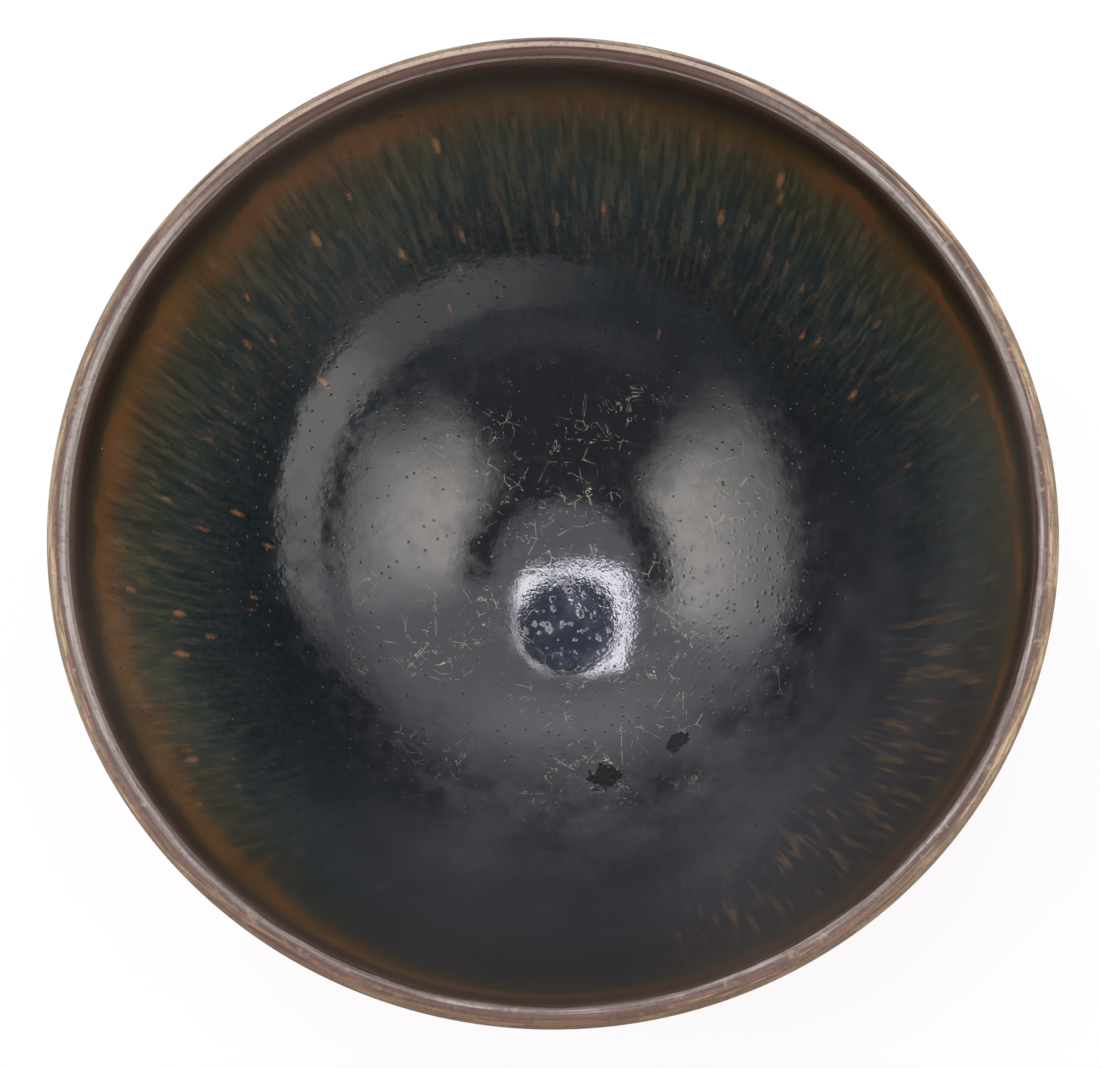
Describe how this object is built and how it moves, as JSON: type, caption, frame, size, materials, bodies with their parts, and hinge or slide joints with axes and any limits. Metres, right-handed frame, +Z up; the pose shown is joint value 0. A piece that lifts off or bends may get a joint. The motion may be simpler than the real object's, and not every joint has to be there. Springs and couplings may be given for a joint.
{
  "type": "tea bowl",
  "caption": "Conical stoneware tea bowl with a dark hare's fur glaze, a pinched lip, a thick rolled glaze edge outside and a small turned foot ring.",
  "frame": {"origin": "centre of the underside of the foot ring, which is the bottom centre of the bounding box", "axes": "+Z up along the bowl's axis, through the open mouth; +X and +Y lie in the plane the foot ring stands on"},
  "size_m": [0.125, 0.125, 0.062],
  "materials": {
    "bare_stoneware": "matte, turned and toasted",
    "hare_fur_glaze": "glossy, with radial rust and olive streaks",
    "rubbed_lip_glaze": "satin, rubbed thin",
    "iron_black_glaze": "glossy, with fine brown streaks"
  },
  "bodies": {
    "root": {"stoneware_body": "bare_stoneware", "inner_glaze": "hare_fur_glaze", "lip_glaze": "rubbed_lip_glaze", "outer_glaze": "iron_black_glaze"}
  },
  "joints": []
}
